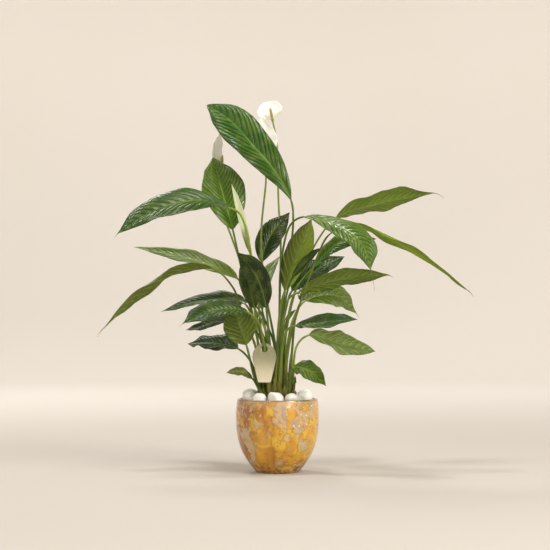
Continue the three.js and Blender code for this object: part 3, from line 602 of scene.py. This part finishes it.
def card_material():
    """Uncoated blank card, cream, painted greyer towards its head as painted shade."""
    p = Paint("tag_stock", 0.3)
    z = p.node("ShaderNodeSeparateXYZ", p.place, out=2)
    grain, fibre = p.noise(900, 3), p.noise(260, 4, 0.5, p.stretch(1, 1, 3))
    # Painted shade: the card goes from cream at its foot to greyer at its head.
    wave = p.plus(z, p.times(p.noise(30, 2), 0.004))
    tone = p.mix(p.step(wave, 0.166, 0.214), linear(216, 206, 176), linear(146, 142, 110))
    tone = p.mix(p.step(fibre, 0.5, 0.7, 0.0, 0.18), tone, linear(140, 128, 100))
    tone = p.mix(p.step(grain, 0.45, 0.7, 0.0, 0.14), tone, linear(250, 244, 226))
    return p.finish(tone, p.step(grain, 0.3, 0.7, 0.55, 0.75), p.bump(grain, 0.0002, 0.5))


# ---- Blades ----
def blade(mesh, path, neck, faces, width, fold, *, power, veins, wave, rows, cols, seed,
          rib=(STALK_NECK, TIP_RIB), taper=0.3, cup=1.12, arch=0.10, quilt=0.042, lean=0.42, thick=0.5,
          droop=0.0, tone=None, slots=(0, 1), pale=0.0):
    """Adds one closed blade. Its rows follow the side veins, which leave the midrib and run to the tip."""
    rng = np.random.default_rng(seed)
    samples, middle = 260, 128
    table = np.linspace(0, 1, samples)
    at, _, normals, sides = path.frames(neck + table * (1 - neck), faces, middle)
    v = np.linspace(0, 1, rows)
    k = np.linspace(-1, 1, 2 * cols + 1)
    s = np.sign(k) * np.abs(k) ** 1.3
    V, S = np.meshgrid(v, s, indexing="ij")
    A = np.abs(S)
    along = np.clip(V + lean * A**1.3 * 1.9 * V**0.6 * (1 - V), 0, 1)
    shape = lambda u: u ** power[0] * (1 - u) ** power[1]
    outline = shape(along) / shape(power[0] / sum(power)) * (1 - taper * smooth(0.78, 1, along))
    root = rib[0] + (rib[1] - rib[0]) * np.sqrt(along)
    wing = np.maximum(width / 2 - root, 0.1) * outline
    uneven = 1 + 0.035 * np.sin(V * 9 + rng.uniform(0, 6)) * A
    uneven = uneven + 0.02 * np.sin(V * 23 + rng.uniform(0, 6))
    X = S * (0.7 * root * (1 - along) + wing * uneven)
    rise = wing * math.tan(math.radians(fold)) * A**cup + wing * arch * np.sin(math.pi * A)
    rise -= wing * droop * A**3
    phase = rng.uniform(0, 6.28, 4)
    beat = np.where(S > 0,
                    np.sin(along * rng.uniform(11, 15) + phase[0]) + 0.5 * np.sin(along * 27 + phase[1]),
                    np.sin(along * rng.uniform(11, 15) + phase[2]) + 0.5 * np.sin(along * 25 + phase[3]))
    rise += wave * width * 0.5 * beat * A**2.4 * (outline**0.7) * smooth(0.02, 0.2, along)
    swell = np.abs(np.sin(math.pi * V * veins)) ** 0.8 - 0.6
    rise += quilt * width * swell * smooth(0.03, 0.25, A) * (1 - 0.75 * A**3) * outline
    rise -= 0.5 * np.exp(-(X / 1.3) ** 2) * smooth(0.0, 0.06, along) * (1 - along)
    where = along * (samples - 1)
    i = np.minimum(where.astype(int), samples - 2)
    w = (where - i)[..., None]
    blend = lambda a: a[i] * (1 - w) + a[i + 1] * w
    normal, side = blend(normals), blend(sides)
    top = blend(at) + side * X[..., None] + normal * rise[..., None]
    deep = (thick * (0.35 + 0.65 * (1 - A**2)) * (0.4 + 0.6 * (1 - along)))[..., None]
    low = top - normal * deep
    ring = np.concatenate([top, low[:, ::-1]], 1)
    n = ring.shape[1]
    both = lambda a: np.concatenate([a, a[:, ::-1]], 1).ravel()
    data = dict(vein=both(V * veins), along=both(along), rib=both(np.abs(X) + 12 * along**6),
                pale=np.full(ring.shape[0] * n, pale))
    if tone is not None:
        upper = tone(along, S)
        data["tone"] = np.concatenate([upper, under_tone(upper)[:, ::-1]], 1).reshape(-1, 3)
    over = len(s) - 1
    slot = ([slots[0]] * over + [slots[1]] * (n - over)) * (rows - 1) + [slots[1]] * 2
    # Ring order runs across the top and back underneath; the top must look along the normal.
    mesh.add(ring, [f[::-1] for f in tube_faces(rows, n)], slot, **data)


def under_tone(colour):
    """The underside of a blade: paler and yellower than its upper side."""
    return np.clip(colour * [1.28, 1.2, 1.1] + [0.016, 0.022, 0.004], 0, 1)


def leaf_tone(rgb, seed, painted_light_half=0.0):
    """Colour over a blade: lighter and yellower near its base, darker to its margins, in slow waves.
    Its last argument is how much lighter its right-hand half is painted. This is painted light on the half of
    a folded blade that faces the light, and painted shade where the value is below 0."""
    base = linear(*rgb)
    rng = np.random.default_rng(seed)
    a, b, c = rng.uniform(0, 6.28, 3)

    def tone(along, across):
        shade = 1 + 0.20 * (0.5 - along) - 0.10 * across**2 + 0.07 * np.sin(5 * along + a)
        # Painted light: one half of the folded blade is painted lighter and the other darker.
        shade = shade + 0.06 * np.sin(9 * across + 4 * along + b) + painted_light_half * across
        yellow = np.clip(0.10 * np.sin(3.5 * along + c) + 0.10 * (1 - along), 0, 1)[..., None]
        colour = base * shade[..., None] * (1 - yellow)
        return np.clip(colour + yellow * base.mean() * np.array([1.9, 1.9, 0.5]), 0.003, 1)

    return tone


# ---- Leaves ----
LEAF_TOP = leaf_material("leaf_upper_side")
LEAF_UNDER = leaf_material("leaf_underside", under=True)
LEAF_STALK = leaf_material("leaf_stalk", stalk=True)


def make_leaf(number, leaf):
    mesh = Mesh()
    path, neck = leaf_path(leaf)
    width, faces, rgb = leaf["width"], leaf["faces"], LEAF_PAINT[number - 1]
    # Stalk and midrib: one tapering tube, sheathed at its foot, grooved above, half hidden by the blade.
    stalk_rows, rib_rows, facing_row, ring = 46, 44, 60, 18
    t = np.concatenate([np.linspace(0, neck, stalk_rows), np.linspace(neck, 1, rib_rows)[1:]])
    at, tangents, normals, sides = path.frames(t, faces, facing_row)
    run = np.concatenate([[0], np.cumsum(np.linalg.norm(np.diff(at, axis=0), axis=1))])
    stalk_length = run[stalk_rows - 1]
    u = np.clip((t - neck) / (1 - neck), 0, 1)
    share = np.clip(t / neck, 0, 1)
    radius = np.where(t < neck, STALK_FOOT + (STALK_NECK - STALK_FOOT) * share,
                      STALK_NECK + (TIP_RIB - STALK_NECK) * np.sqrt(u))
    sheath_end = min(0.55 * stalk_length, 95.0)
    sheath = 1 - smooth(sheath_end * 0.6, sheath_end, run)
    knee = np.exp(-((run - stalk_length + 10) / 9) ** 2)
    radius = radius * (0.9 + 0.18 * sheath + 0.16 * knee)
    radius = np.where(t > neck, radius * 0.86, radius)

    def section(angle):
        turn = np.minimum(angle, 2 * math.pi - angle)
        groove = 1 - 0.30 * np.exp(-(turn / 0.34) ** 2)
        wing = np.exp(-((turn - 0.62) / 0.17) ** 2)
        return groove[None] + 0.75 * sheath[:, None] * wing[None]

    at = at - normals * (radius * 0.62 * smooth(0.0, 0.06, u))[:, None]
    points = sweep_tube((at, tangents, normals, sides), radius, ring, section)
    foot, neck_tone = linear(*SHEATH_TONE), linear(*STALK_PAINT.get(number, STALK_TONES[number % 5]))
    mixed = foot[None] * sheath[:, None] + neck_tone[None] * (1 - sheath[:, None])
    pale = linear(*rgb) * 1.35 + np.array([0.03, 0.04, 0.005])
    to_rib = smooth(-0.02, 0.12, t - neck)[:, None]
    mesh.tube(points, 2, tone=mixed * (1 - to_rib) + pale[None] * to_rib)
    tiny = width < 20
    blade(mesh, path, neck, faces, width, leaf["fold"], power=leaf["outline"], seed=number,
          veins=VEIN_COUNT.get(number, 7 if tiny else 13 + number % 4), wave=RUFFLED.get(number, 0.06),
          rows=44 if tiny else 96, cols=6 if tiny else 13, droop=0.10 if number % 3 else 0.16,
          tone=leaf_tone(rgb, number, LIT_HALVES.get(number, 0.0)), pale=PALE_VEINS.get(number, 0.0))
    if number in DRIP:
        # The tip hangs from 6 mm inside the blade's end.
        tip, way = path.at(1)[0], path.tangent(1)[0]
        length, rows, ring = DRIP[number], 12, 8
        steps = np.linspace(0, 1, rows)
        sag = steps[:, None] ** 2 * np.array([0, 0, -0.55 * length])
        line = tip - way * 6 + way * (steps[:, None] * (length * 0.75 + 6)) + sag
        made = Path(line).frames(steps, faces, 5)
        points = sweep_tube(made, 0.62 * (1 - steps) + 0.14, ring)
        mesh.tube(points, 2, tone=np.repeat(linear(96, 92, 40)[None], rows, 0))
    mesh.piece(f"lily_leaf_{number:02d}", [LEAF_TOP, LEAF_UNDER, LEAF_STALK],
               "leaf_" + leaf["tone"], f"leaf_{number:02d}")


for index, entry in enumerate(LEAVES, 1):
    make_leaf(index, entry)


# ---- Flowers ----
SPATHE_PAINT = {
    "white": spathe_material("spathe_white_wax", linear(252, 250, 245), linear(214, 220, 170)),
    "green": spathe_material("spathe_green_wax", linear(228, 234, 196), linear(140, 166, 84), 0.5),
}
SPADIX_PAINT = spadix_material()
STEM_HEAD, SPATHE_RIB = 3.2, 0.9
# Knobs on a spadix: the distance between two rows in mm, and how many stand in a row.
KNOB_PITCH, KNOBS_ROUND = 1.75, 10


def make_flower(number, flower):
    stem = [on_crown(flower["seat"])] + above_soil(flower["stem"])
    head = np.array(stem[-1])
    axis = head - np.array(stem[-2])
    axis /= np.linalg.norm(axis)
    faces = np.array(flower["faces"], float)
    faces /= np.linalg.norm(faces)

    mesh = Mesh()
    t = np.linspace(0, 1, 90)
    made = Path(stem).frames(t, flower["faces"], 0)
    radius = 2.3 - 0.75 * t + 1.25 * smooth(0.955, 1, t)
    points = sweep_tube(made, radius, 16, lambda a: np.repeat((1 + 0.035 * np.cos(5 * a))[None], len(t), 0))
    low, high = linear(96, 112, 44), linear(150, 166, 78)
    mesh.tube(points, 0, tone=low + (high - low) * smooth(0.1, 0.9, t)[:, None])
    mesh.piece(f"lily_stem_{number}", [LEAF_STALK], "flower_stem", f"flower_{number}_stem")

    mesh = Mesh()
    behind = 0.9 * STEM_HEAD + CLEARANCE + 0.8 * SPATHE_RIB
    path = Path([head - faces * behind] + above_soil(flower["spathe"]))
    blade(mesh, path, 0.0, flower["faces"], flower["width"], flower["fold"], power=(0.45, 0.65), veins=16,
          wave=0.045, rows=80, cols=15, seed=40 + number, rib=(SPATHE_RIB, TIP_RIB),
          taper=0.2 if number == 1 else 0.45, cup=1.7, arch=-0.04, quilt=0.004, thick=0.7, slots=(0, 0))
    mesh.piece(f"lily_spathe_{number}", [SPATHE_PAINT[flower["tone"]]], "spathe_" + flower["tone"],
               f"flower_{number}_spathe")

    mesh = Mesh()
    length, thick = flower["spadix"]
    u, ring = np.linspace(0, 1, 110), 44
    path = Path([head + axis * CLEARANCE * 2, head + axis * length * 0.5, head + axis * (length + 0.6)])
    # Each row stands in the gaps of the row below it.
    along, across = np.cos(u * length / KNOB_PITCH * math.pi), np.cos(round_angles(ring) * KNOBS_ROUND)
    knob = np.clip(np.outer(along, across), 0, 1)
    profile = np.interp(u, [0, 0.06, 0.5, 0.8, 0.93, 0.985, 1], [0.75, 0.97, 1, 0.9, 0.66, 0.36, 0.1])
    made = path.frames(u, flower["faces"], 0)
    points = sweep_tube(made, thick * profile, ring, lambda _: 0.93 + 0.09 * knob)
    mesh.tube(points, 0, knob=knob, along=u)
    mesh.piece(f"lily_spadix_{number}", [SPADIX_PAINT], "spadix", f"flower_{number}_spadix")


for index, entry in enumerate(FLOWERS, 1):
    make_flower(index, entry)


# ---- Pot ----
POT_HEIGHT, POT_WALL, POT_FLOOR = 130.0, 5.0, 6.0
FOOT_RADIUS, BELT_RADIUS, BELT_HEIGHT, RIM_RADIUS = 38.0, 74.0, 100.0, 71.5


def outer_radius(z):
    z = np.asarray(z, float)
    low = FOOT_RADIUS + (BELT_RADIUS - FOOT_RADIUS) * (1 - np.clip(1 - z / BELT_HEIGHT, 0, 1) ** 2.6)
    high = BELT_RADIUS - (BELT_RADIUS - RIM_RADIUS) * ((z - BELT_HEIGHT) / (POT_HEIGHT - BELT_HEIGHT)) ** 2
    return np.where(z < BELT_HEIGHT, low, high)


def make_pot():
    lip, foot_top = POT_WALL / 2, 1.6
    wall_top = POT_HEIGHT - lip
    z = np.linspace(0, 1, 70) ** 1.3 * (wall_top - foot_top) + foot_top
    outside = np.stack([outer_radius(z), z], 1)
    turn = np.linspace(0, math.pi, 14)[1:-1]
    rim = np.stack([RIM_RADIUS - lip + lip * np.cos(turn), wall_top + lip * np.sin(turn)], 1)
    inner = np.linspace(1, 0, 30) * (wall_top - POT_FLOOR) + POT_FLOOR
    inside = np.stack([outer_radius(inner) - POT_WALL, inner], 1)
    foot = [[0, 0.8], [FOOT_RADIUS - 7, 0.8], [FOOT_RADIUS - 5.5, 0.0], [FOOT_RADIUS - 1.4, 0.0],
            [FOOT_RADIUS - 0.5, 0.45]]
    points, faces = turned(np.vstack([foot, outside, rim, inside, [[0, POT_FLOOR]]]), 224)
    # Hand-thrown: a faint unevenness, nothing at the foot.
    r = np.linalg.norm(points[:, :2], axis=1, keepdims=True)
    lift = smooth(0, 30, points[:, 2:3])
    points[:, :2] *= 1 + lift * 0.0035 * ripple(points, 70, 3)[:, None] * (r > 1)
    mesh = Mesh()
    mesh.add(points, faces)
    mesh.piece("glazed_pot", [glaze_material()], "pot_glaze", "pot")


# ---- Soil, crown and pebbles ----
def ico(subdivisions):
    made = bmesh.new()
    bmesh.ops.create_icosphere(made, subdivisions=subdivisions, radius=1)
    points = np.array([v.co[:] for v in made.verts])
    faces = [tuple(v.index for v in f.verts) for f in made.faces]
    made.free()
    return points, faces


def make_soil():
    mesh = Mesh()
    z = np.linspace(POT_FLOOR + 0.4, SOIL_TOP, 14)
    side = np.stack([outer_radius(z) - POT_WALL - 0.5, z], 1)
    reach = side[-1, 0]
    top = [[reach * f, SOIL_TOP] for f in (0.97, 0.92, 0.86, 0.8, 0.73, 0.66, 0.58, 0.5, 0.44)]
    points, faces = turned(np.vstack([[[0, POT_FLOOR + 0.4]], side, top, [[0, SOIL_TOP - 2]]]), 150)
    level = points[:, 2] > SOIL_TOP - 0.5
    points[level, 2] += 1.1 * ripple(points[level], 14, 11) - 0.6
    mesh.add(points, faces)
    ball, ball_faces = ico(1)
    crumbs, inner = 520, 30
    for _ in range(crumbs):
        a, r = RNG.uniform(0, 2 * math.pi), math.sqrt(RNG.uniform(inner**2, (reach - 1.5) ** 2))
        size = RNG.uniform(0.5, 1.7) * np.array([1, RNG.uniform(0.6, 1), RNG.uniform(0.5, 0.9)])
        crumb = ball * size * (1 + 0.25 * RNG.normal(size=(len(ball), 1)))
        crumb = crumb + [r * math.cos(a), r * math.sin(a), SOIL_TOP + 0.4]
        mesh.add(crumb, ball_faces)
    mesh.piece("soil_mix", [soil_material()], "soil", "potting_soil")


def make_crown():
    """The rootstock mound, with the split, papery feet of old sheaths standing round the stalks."""
    mesh = Mesh()
    core, edge, base = 26.0, 30.4, 100
    r = np.concatenate([[0], np.full(6, core), np.linspace(core, edge, 6), np.linspace(edge, 0.5, 22), [0]])
    z = np.concatenate([[base], np.linspace(base, SOIL_TOP + 2, 6),
                        np.linspace(SOIL_TOP + 3, CROWN_TOP - 2, 6),
                        CROWN_TOP - 2 + 2.4 * np.sqrt(np.linspace(0, 1, 22)), [CROWN_TOP + 0.4]])
    points, faces = turned(np.stack([r, z], 1), 90)
    out = np.linalg.norm(points[:, :2], axis=1, keepdims=True)
    bumps = ripple(points, 9, 21)[:, None]
    points[:, :2] *= 1 + 0.05 * bumps * smooth(5, 25, out)
    points[:, 2] += 1.0 * ripple(points, 7, 22) * smooth(SOIL_TOP, CROWN_TOP, points[:, 2])
    mesh.add(points, faces)
    seats = [e["seat"] for e in LEAVES] + [e["seat"] for e in FLOWERS]
    for k, seat in enumerate(seats * 2):
        rng = np.random.default_rng(500 + k)
        x, y, _ = on_crown(seat)
        if k >= len(seats):
            x, y = x + rng.uniform(-5, 5), y + rng.uniform(-5, 5)
        off = math.hypot(x, y)
        away = (x / off, y / off) if off > 1 else (1.0, 0.0)
        height, radius = rng.uniform(14, 46), rng.uniform(3.7, 5.4)
        facing, spread = math.atan2(away[1], away[0]) + rng.uniform(-0.9, 0.9), rng.uniform(1.3, 2.3)
        rows, cols = 14, 15
        u = np.linspace(0, 1, rows)[:, None]
        a = facing + np.linspace(-spread, spread, cols)[None] * (1 - 0.5 * u**2)
        ragged = 1 - 0.25 * np.linspace(-1, 1, cols)[None] ** 2 + 0.07 * rng.normal(size=(1, cols))
        z = CROWN_TOP - 3 + height * u * ragged
        flare = radius * (1 + 0.10 * u + 0.30 * smooth(0.7, 1, u) * rng.uniform(-0.3, 1))
        lean = u**1.5 * rng.uniform(0, 5)
        for sign, gap in ((1, 0.0), (-1, 0.35)):
            sheet = np.stack([x + (flare - gap) * np.cos(a) + away[0] * lean,
                              y + (flare - gap) * np.sin(a) + away[1] * lean, z], -1)
            mesh.add(sheet, [q[::sign] for q in grid_faces(rows, cols)])
    mesh.piece("root_crown", [crown_material()], "crown", "crown")


PEBBLES = 10


def make_pebbles():
    inner, outer = CROWN_RADIUS + 4.5, RIM_RADIUS - POT_WALL - 0.5
    ring, depth = (inner + outer) / 2, 0.45 * (outer - inner)
    across = 0.9 * ring * math.sin(math.pi / PEBBLES)
    ball, faces = ico(5)
    blunt = ball / (np.abs(ball) ** 2.6).sum(1)[:, None] ** (1 / 2.6)
    paint = stone_material()
    for i in range(PEBBLES):
        angle = math.radians(-93 + 360 / PEBBLES * i)
        plump = 1 - 0.06 * (1 + math.sin(2.4 * i + 0.7))
        tall = 14 * (1 - 0.1 * (1 + math.sin(1.7 * i)))
        swell = 1 + 0.12 * ripple(ball, 1.7, 60 + i) + 0.014 * ripple(ball, 0.4, 80 + i)
        stone = blunt * swell[:, None] * np.array([depth * plump, across * plump * 1.07, tall])
        # Worn flats, as river stones have.
        for way in np.random.default_rng(90 + i).normal(size=(6, 3)):
            way /= np.linalg.norm(way)
            limit = 0.80 * (stone @ way).max()
            over = stone @ way - limit
            stone = stone - way * (np.maximum(over, 0) * 0.80)[:, None]
        c, s = math.cos(angle), math.sin(angle)
        x, y, z = stone.T
        stone = np.stack([c * x - s * y + ring * c, s * x + c * y + ring * s,
                          z - z.min() + SOIL_TOP + CLEARANCE], 1)
        mesh = Mesh()
        mesh.add(stone, faces)
        mesh.piece(f"river_pebble_{i + 1:02d}", [paint], "pebble", f"pebble_{i + 1:02d}")


# ---- Tag ----
def make_tag():
    """A leaning card, slotted onto a leaf stalk. eye is the slot's radius, hang the stalk's height there."""
    height, width, foot, thick, eye, hang, lean = 70, 43, 23, 0.8, 6, 106, 9
    path, neck = leaf_path(LEAVES[TAG_LEAF - 1])
    t = np.linspace(0, neck, 2000)
    k = int(np.argmax(path.at(t)[:, 2] > SOIL_TOP + hang))
    centre = path.at(t[k])[0]
    mouth = STALK_FOOT + (STALK_NECK - STALK_FOOT) * t[k] / neck + 2 * CLEARANCE
    eye_centre, shoulder = height - eye * 1.75, height * 0.67

    def bezier(a, b, c, d, n=16):
        q = np.linspace(0, 1, n)[:, None]
        a, b, c, d = map(np.array, (a, b, c, d))
        return ((1 - q)**3 * a + 3 * (1 - q)**2 * q * b + 3 * (1 - q) * q**2 * c + q**3 * d).tolist()

    turn = math.acos(mouth / eye)
    edge = bezier([width * 0.48, shoulder * 0.86], [width * 0.53, shoulder * 1.1],
                  [width * 0.4, height * 0.93], [mouth, height])
    hole = [[eye * math.cos(a), eye_centre + eye * math.sin(a)] for a in np.linspace(turn, -math.pi / 2, 16)]
    # Each half is a strip between the outer edge and the slot, split into even columns.
    outer = np.array([[0, 0], [foot / 2 - 1.5, 0], [foot / 2, 1.4]] + edge)
    slot = np.array(hole[::-1])
    ys = np.concatenate([np.linspace(0, eye_centre - eye, 26), slot[1:, 1], [height]])
    order = np.argsort(outer[:, 1], kind="stable")
    far = np.interp(ys, outer[order, 1], outer[order, 0])
    far[0] = foot / 2 - 1.2
    near = np.where(ys <= eye_centre - eye, 0.0, np.interp(ys, slot[:, 1], slot[:, 0]))
    near[-1] = mouth
    rows, cols = len(ys), 12
    size = rows * cols
    # Front, back, and the rim that joins them round the card's edge and the slot, then along its foot.
    faces = grid_faces(rows, cols)
    faces += [tuple(size + corner for corner in face[::-1]) for face in faces]
    loop = ([i * cols + cols - 1 for i in range(rows)]
            + [(rows - 1) * cols + j for j in range(cols - 2, -1, -1)]
            + [i * cols for i in range(rows - 2, -1, -1) if ys[i] > eye_centre - eye - 1e-6])
    faces += [(p, size + p, size + q, q) for p, q in zip(loop, loop[1:])]
    faces += [(j + 1, size + j + 1, size + j, j) for j in range(cols - 1)]
    # Card frame to plant frame: up the card, and out of its front.
    alpha = math.pi / 2 - math.radians(lean)
    up = np.array([0, math.cos(alpha), math.sin(alpha)])
    out = np.array([0, -math.sin(alpha), math.cos(alpha)])
    y = np.repeat(ys[:, None], cols, 1)
    mesh = Mesh()
    for sign in (1, -1):
        x = sign * (near[:, None] + (far - near)[:, None] * np.linspace(0, 1, cols))
        bend = 0.9 * ((x / width * 2) ** 2) + 1.6 * (1 - smooth(0, 40, y))
        grid = np.stack([np.stack([x, y, bend + side], -1) for side in (thick / 2, -thick / 2)])
        gy, gz = grid[..., 1] - (height - 0.9 * eye), grid[..., 2]
        placed = centre + grid[..., :1] * [1, 0, 0] + gy[..., None] * up + gz[..., None] * out
        mesh.add(placed, [face[::sign] for face in faces])
    mesh.piece("card_tag", [card_material()], "tag_card", "plant_tag")


make_pot()
make_soil()
make_crown()
make_pebbles()
make_tag()


# ---- Studio ----
def stand(thing, at, aim):
    """Stands a lamp or camera at one point, in metres, and turns it to another."""
    thing.location = at
    thing.rotation_euler = (Vector(aim) - Vector(at)).to_track_quat("-Z", "Y").to_euler()


def make_studio():
    """A pale floor that curves up all round into a wall, so that it looks the same from every side."""
    wall, bend, top = 5000, 1600, 3000
    profile = [[0, 0], [900, 0], [2400, 0]]
    profile += [[wall - bend + bend * math.sin(a), bend - bend * math.cos(a)]
                for a in np.linspace(0, math.pi / 2, 24)]
    points, faces = turned(profile + [[wall, top], [0, top]], 128)
    sweep = Mesh()
    sweep.add(points, [f[::-1] for f in faces if len(points) - 1 not in f])
    # Painted light: the paper glows, and glows more the further it lies from the plant.
    p = Paint("studio_paper", 0.1, Emission_Color=linear(240, 233, 224))
    away = p.node("ShaderNodeVectorMath", p.place, out=1, operation="LENGTH")
    p.plug(p.bsdf.inputs["Emission Strength"], p.step(away, 0.6, 3.4, 0.04, 0.17))
    paper = p.mix(p.step(p.noise(0.6, 2), 0.3, 0.7), linear(241, 236, 230), linear(238, 233, 226))
    # Painted shade: the floor near the plant, where the lamps fall strongest, is painted darker so that floor
    # and wall look evenly bright.
    tone = p.mix(p.step(away, 0.6, 3.4, 0.9, 0.0), paper, linear(182, 175, 166))
    sweep.build("studio_sweep", [p.finish(tone, 0.9)])

    world = bpy.data.worlds.new("studio_air")
    world.use_nodes = True
    air = world.node_tree.nodes["Background"]
    air.inputs[0].default_value = (*linear(238, 230, 218), 1)
    air.inputs[1].default_value = 0.50
    bpy.context.scene.world = world

    def lamp(name, at, aim, size, power, colour):
        data = bpy.data.lights.new(name, "AREA")
        data.shape, data.size, data.energy, data.color = "DISK", size, power, colour
        stand(put(name, data), at, aim)

    lamp("key_light", (1.7, -1.5, 2.3), (0, 0, 0.35), 1.3, 48, (1.0, 0.97, 0.93))
    lamp("fill_light", (-1.7, -1.5, 2.5), (0, 0, 0.45), 0.8, 7, (0.94, 0.97, 1.0))
    lamp("top_light", (-0.62, -0.36, 2.9), (0, 0, 0.4), 0.6, 34, (1.0, 0.99, 0.97))
    lamp("low_light", (1.5, -2.3, 0.8), (0, 0, 0.2), 0.7, 12, (1.0, 0.98, 0.95))
    lamp("back_light", (-0.9, 1.9, 2.5), (0, 0, 0.4), 0.9, 34, (1.0, 0.98, 0.94))


make_studio()
# The camera sees this far to each side of the plant, in metres.
DISTANCE, HALF_VIEW = 2.6, 0.491
lens = bpy.data.cameras.new("front_view")
lens.sensor_fit = "HORIZONTAL"
lens.angle = 2 * math.atan(HALF_VIEW / DISTANCE)
lens.clip_start, lens.clip_end = 0.05, 30
camera = put("front_view", lens)
stand(camera, (0, -DISTANCE, 0.277), (-0.0045, 0, 0.350))
bpy.context.scene.camera = camera
bpy.context.scene.view_settings.view_transform = "Standard"
